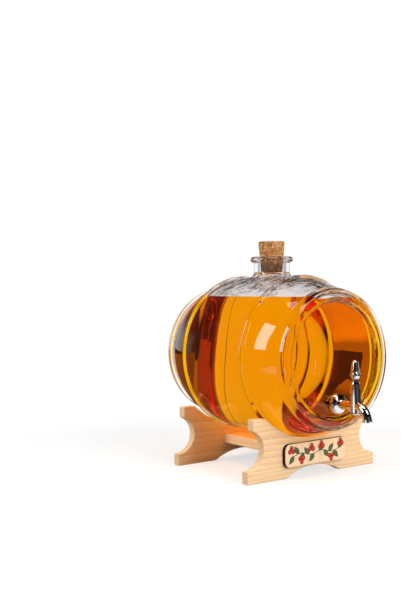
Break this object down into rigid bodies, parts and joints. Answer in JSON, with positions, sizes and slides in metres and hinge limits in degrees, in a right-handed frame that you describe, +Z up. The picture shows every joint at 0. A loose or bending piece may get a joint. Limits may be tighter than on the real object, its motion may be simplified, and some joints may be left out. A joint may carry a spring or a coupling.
{
  "type": "glass barrel beverage dispenser",
  "caption": "Clear glass barrel lying on a wooden cradle, with a cork in its neck, a chrome tap in its front head and a small plaque on the cradle, for serving drinks.",
  "frame": {"origin": "on the table under the middle of the part's outline: the cradle's middle lies 25 mm behind it, so that the spout in front and the rear rim reach equally far", "axes": "+Z up, -Y to the front where the tap points, +X to the right seen from the front"},
  "size_m": [0.206, 0.2881, 0.285],
  "materials": {
    "beech_front": "satin",
    "beech_rear": "satin",
    "beech_board": "satin",
    "dowel": "matte",
    "plaque": "satin",
    "glass": "polished",
    "cork": "matte",
    "gasket": "matte",
    "chrome": "polished",
    "steel": "satin",
    "brass": "satin"
  },
  "bodies": {
    "stand": {"front_cradle_plate": "beech_front", "rear_cradle_plate": "beech_rear", "stretcher_board": "beech_board", "stretcher_dowels": "dowel", "plaque_board": "plaque"},
    "barrel": {"glass_barrel": "glass", "outer_tap_gasket": "gasket", "tap_rosette": "chrome", "inner_tap_gasket": "gasket", "inner_washer": "steel", "shank_nut": "steel", "tap_body": "chrome", "tap_collar": "chrome"},
    "tap_key": {"tap_plug": "brass", "plug_o_rings": "gasket", "plug_washer": "steel", "plug_nut": "chrome", "tap_handle": "chrome", "handle_pin": "steel"},
    "cork": {"cork_stopper": "cork"}
  },
  "joints": [
    {"name": "barrel_lift", "type": "slide", "parent": "stand", "child": "barrel", "axis": [0, 0, 1], "range_m": [0, 0.08]},
    {"name": "cork_pull", "type": "slide", "parent": "barrel", "child": "cork", "axis": [0, 0, 1], "range_m": [0, 0.05]},
    {"name": "tap_turn", "type": "hinge", "parent": "barrel", "child": "tap_key", "pos_m": [0, -0.1203, 0.08918], "axis": [0, 0, 1], "range_deg": [0, 90]}
  ]
}
